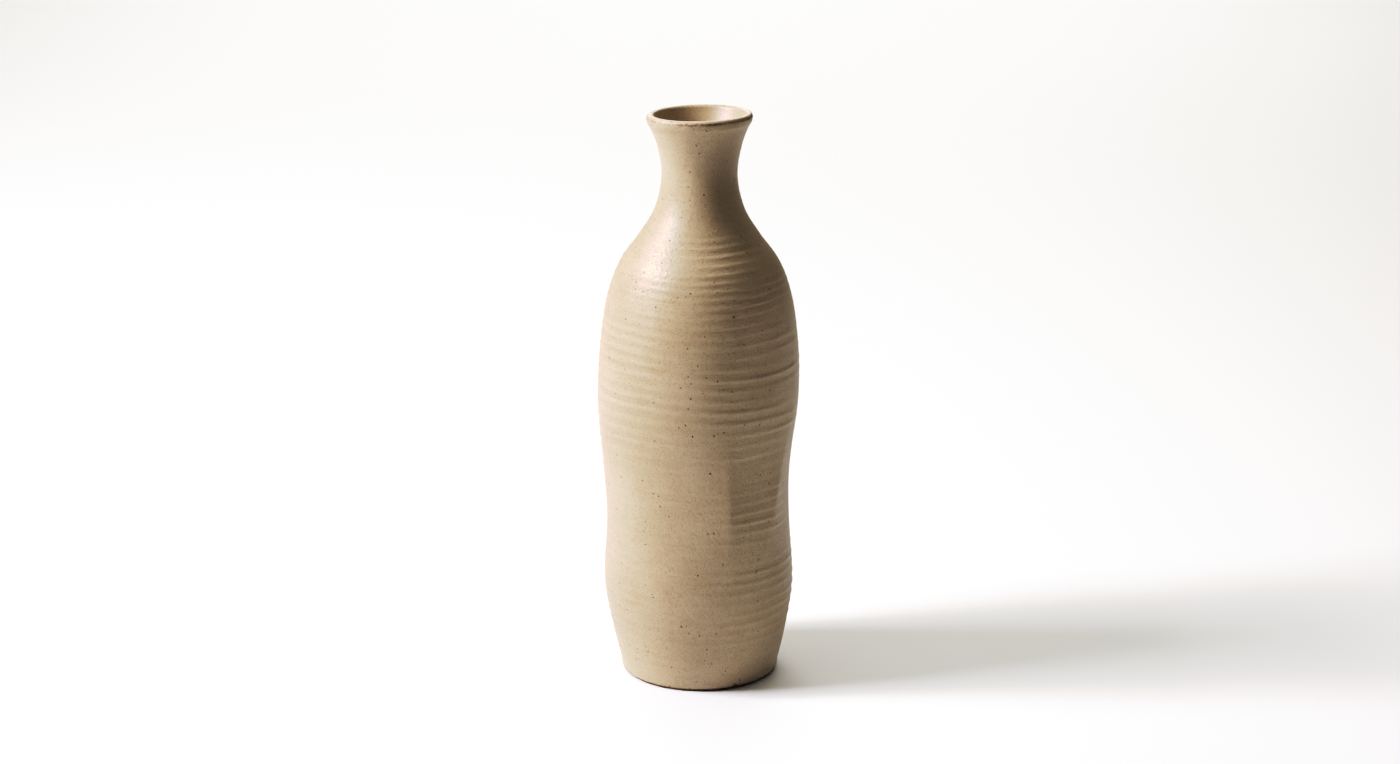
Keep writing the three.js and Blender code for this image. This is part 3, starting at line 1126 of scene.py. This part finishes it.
@dataclass
class IronSpecks:
    """Iron specks that melted through the outer coat: some known ones, and many scattered small ones."""

    coat: OuterCoat
    # The larger specks at the front: angle, height and width.
    known: tuple[tuple[float, float, float], ...] = (
        (10, 221, 0.9), (21, 204, 1.1), (-6, 216, 0.8), (10, 172, 0.95), (-5, 163, 1.0), (-4, 143, 1.1),
        (-8, 149, 0.9), (6, 123, 1.2), (8, 91, 1.0), (-1, 68, 1.0), (-11, 39, 1.0), (0, 34, 0.9),
        (8, 17, 0.8), (-19, 14, 0.8),
    )
    scattered: int = 260
    seed: int = 97
    smallest: float = 0.34
    largest: float = 0.95
    lowest: float = 6.0
    highest: float = 262.0
    # The higher the power, the commoner the small ones.
    size_power: float = 2.6
    # Each speck's outline: its corners, how ragged and how drawn out it is, and the range of its first turn.
    sides: int = 9
    raggedness: float = 0.22
    stretch: float = 0.6
    turn_range: float = 6.28
    # The step, in degrees and in millimetres, over which the coat's own directions are felt.
    probe: float = 0.25
    # From the middle out: the share of the radius, and the height over the glaze as a share of the width.
    ring_shares: tuple[float, ...] = (0.45, 0.78, 1.0)
    ring_rises: tuple[float, ...] = (0.035, 0.060, -0.030)
    middle_rise: float = 0.012
    under_rise: float = -0.09
    core: tuple[float, ...] = (1.0, 0.9, 0.45, 0.0)

    def places(self) -> tuple[Array, Array, Array]:
        """The angles, heights and widths of all the specks; small ones are far commoner than large ones."""
        rng = np.random.default_rng(self.seed)
        angle = rng.uniform(-180, 180, self.scattered)
        height = rng.uniform(self.lowest, self.highest, self.scattered)
        share = rng.uniform(0, 1, self.scattered) ** self.size_power
        width = self.smallest + (self.largest - self.smallest) * share
        known = np.array(self.known).T
        return tuple(np.concatenate([a, b]) for a, b in zip(known, (angle, height, width)))

    def on_coat(self, angle: Array, height: Array) -> Array:
        """Points on the outer coat's open face at angles and outline heights, in millimetres."""
        wall = self.coat.form.wall()
        columns = (wall.points[:, 0], *wall.outs.T)
        radius, out_radius, out_height = (np.interp(height, wall.points[:, 1], c) for c in columns)
        over = self.coat.form.coat_gap + self.coat.thickness
        lift = over + self.coat.relief.at(angle, height + over * out_height)
        return self.coat.form.shaped(radius + lift * out_radius, height + lift * out_height, angle)

    def ragged_outlines(self, rng: np.random.Generator, count: int) -> tuple[Array, Array]:
        """Ragged ovals about 0 of about radius 1, each turned its own way, as two sets of coordinates."""
        first = rng.uniform(0, self.turn_range, (count, 1))
        turn = np.linspace(0, 2 * np.pi, self.sides, endpoint=False)[None, :] + first
        ragged = 1 + self.raggedness * rng.uniform(-1, 1, (count, self.sides))
        long = 1 + self.stretch * rng.uniform(0, 1, (count, 1)) ** 2
        lean = rng.uniform(0, np.pi, (count, 1))
        east, north = ragged * np.cos(turn) * long, ragged * np.sin(turn) / long
        cos, sin = np.cos(lean), np.sin(lean)
        return east * cos - north * sin, east * sin + north * cos

    def build(self, material: Material) -> Object:
        """Makes the piece: each speck is a low closed dome with a dip in it, standing on the coat."""
        angle, height, width = self.places()
        rng = np.random.default_rng(self.seed + 1)
        count, step = len(angle), self.probe
        centre = self.on_coat(angle, height)
        across = self.on_coat(angle + step, height) - self.on_coat(angle - step, height)
        up = self.on_coat(angle, height + step) - self.on_coat(angle, height - step)
        normal = np.cross(across, up)
        normal /= np.linalg.norm(normal, axis=1, keepdims=True)
        up /= np.linalg.norm(up, axis=1, keepdims=True)
        across = np.cross(up, normal)
        east, north = self.ragged_outlines(rng, count)
        flat = east[..., None] * across[:, None] + north[..., None] * up[:, None]
        half = (width / 2)[:, None, None]
        rings = [centre[:, None] + half * (share * flat + 2 * rise * normal[:, None])
                 for share, rise in zip(self.ring_shares, self.ring_rises)]
        middle = centre + self.middle_rise * width[:, None] * normal
        under = centre + self.under_rise * width[:, None] * normal
        points = np.concatenate([middle[:, None], *rings, under[:, None]], axis=1)
        offsets = (np.arange(count) * points.shape[1])[:, None, None]
        faces = [(offsets + part[None]).reshape(-1, part.shape[1]) for part in self.speck_faces()]
        cores = np.tile(np.concatenate([[self.core[0]], np.repeat(self.core[1:], self.sides), [0.0]]), count)
        piece = add_piece("iron_specks", points.reshape(-1, 3), faces, material, {Field.CORE: cores})
        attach(piece, "root")
        return piece

    def speck_faces(self) -> list[Array]:
        """The faces of one speck: a fan at the top, bands between its rings, and a fan underneath."""
        side = 1 + np.arange(self.sides)
        beside = 1 + side % self.sides
        starts = self.sides * np.arange(len(self.ring_shares))
        top = np.stack([np.zeros(self.sides, int), side, beside], axis=1)
        bands = [np.stack([here + side, after + side, after + beside, here + beside], axis=1)
                 for here, after in zip(starts, starts[1:])]
        last = np.full(self.sides, 1 + starts[-1] + self.sides)
        bottom = np.stack([starts[-1] + beside, starts[-1] + side, last], axis=1)
        return [np.concatenate([top, bottom]), np.concatenate(bands)]


# ---- The studio ----


@dataclass(frozen=True)
class Softbox:
    """A soft rectangular light, in metres and watts, aimed at a point."""

    name: str
    place: Colour
    aim: Colour
    width: float
    height: float
    power: float
    tint: Colour = (1.0, 1.0, 1.0)

    def build(self) -> Object:
        """Makes the light, turned so that it shines from its place to its aim."""
        lamp = bpy.data.lights.new(self.name, "AREA")
        lamp.shape = "RECTANGLE"
        lamp.size, lamp.size_y = self.width, self.height
        lamp.energy = self.power
        lamp.color = self.tint
        light = bpy.data.objects.new(self.name, lamp)
        light.location = self.place
        light.visible_camera = False
        light.rotation_euler = (Vector(self.aim) - Vector(self.place)).to_track_quat("-Z", "Y").to_euler()
        bpy.context.scene.collection.objects.link(light)
        return light


@dataclass(frozen=True)
class ContrastCurve:
    """How the camera's picture answers to light: a little darker in the shade, brighter in the light."""

    stops: tuple[tuple[float, float], ...] = (
        (0.0, 0.0), (0.05, 0.024), (0.12, 0.075), (0.20, 0.172), (0.30, 0.325), (0.45, 0.545), (0.60, 0.695),
        (0.75, 0.808), (0.88, 0.95), (1.0, 1.0),
    )

    def apply(self, view: bpy.types.ColorManagedViewSettings) -> None:
        """Puts the curve before the standard view of the scene's light."""
        view.view_transform = "Standard"
        view.use_curve_mapping = True
        curve = view.curve_mapping.curves[3]
        for place, level in self.stops[1:-1]:
            curve.points.new(place, level)
        view.curve_mapping.update()


@dataclass
class Studio:
    """A plain pale floor, soft light from the left, and a camera in front and a little above."""

    floor_half: float = 9.0
    lights: tuple[Softbox, ...] = (
        Softbox("key", (-1.17, -0.18, 1.07), (0.0, 0.0, 0.12), 0.55, 0.55, 34.0, (0.905, 0.895, 0.985)),
        Softbox("overhead", (0.0, 0.3, 2.4), (0.0, 0.2, 0.0), 2.4, 2.4, 26.0, (1.0, 0.96, 0.85)),
        Softbox("backdrop", (0.0, 2.8, 1.6), (0.0, 0.0, 0.15), 2.5, 1.6, 46.0),
    )
    sky: Colour = (1.0, 1.0, 1.0)
    sky_strength: float = 0.02
    camera_place: Colour = (0.0002, -1.659, 0.6325)
    camera_dip: float = 15.99
    focal_length: float = 84.63
    sensor_width: float = 36.0

    def build(self) -> None:
        """Makes the floor, the lights, the sky and the camera."""
        self.build_floor()
        for light in self.lights:
            light.build()
        self.build_sky()
        self.build_camera()

    def build_floor(self) -> Object:
        """A square floor at the height that the vase stands on."""
        half = self.floor_half / MM
        corners = half * np.array([(-1, -1, 0), (1, -1, 0), (1, 1, 0), (-1, 1, 0)], float)
        floor = add_piece("floor", corners, [np.array([[0, 1, 2, 3]])], PalePaper("pale_paper").material())
        return floor

    def build_sky(self) -> None:
        """An even pale sky all round."""
        world = bpy.data.worlds.new("sky")
        world.use_nodes = True
        background = world.node_tree.nodes["Background"]
        background.inputs["Color"].default_value = (*self.sky, 1.0)
        background.inputs["Strength"].default_value = self.sky_strength
        bpy.context.scene.world = world

    def build_camera(self) -> Object:
        """A camera that looks along +Y and dips towards the vase."""
        lens = bpy.data.cameras.new("camera")
        lens.lens = self.focal_length
        lens.sensor_width = self.sensor_width
        camera = bpy.data.objects.new("camera", lens)
        camera.location = self.camera_place
        camera.rotation_euler = (math.radians(90 - self.camera_dip), 0.0, 0.0)
        bpy.context.scene.collection.objects.link(camera)
        bpy.context.scene.camera = camera
        return camera


# ---- The whole ----


def main() -> None:
    """Builds the vase's pieces in order, and the studio round them."""
    logging.basicConfig(level=logging.INFO, format="%(name)s: %(message)s")
    ContrastCurve().apply(bpy.context.scene.view_settings)
    form = VaseForm()
    # The liner's body and pale tones are darker than the outer glaze's: painted shade inside the mouth.
    liner = StonewareGlaze("liner_satin_glaze_painted_shade", body=(0.371, 0.287, 0.178), pale=(0.421, 0.326, 0.208))
    coat = OuterCoat(form, OuterRelief(form))
    ClayBody(form).build(FiredClay("bare_clay").material())
    coat.build(StonewareGlaze("sandy_satin_glaze").material())
    LinerCoat(form).build(liner.material())
    IronSpecks(coat).build(IronMelt("iron_melt").material())
    Studio().build()


if __name__ == "__main__":
    main()
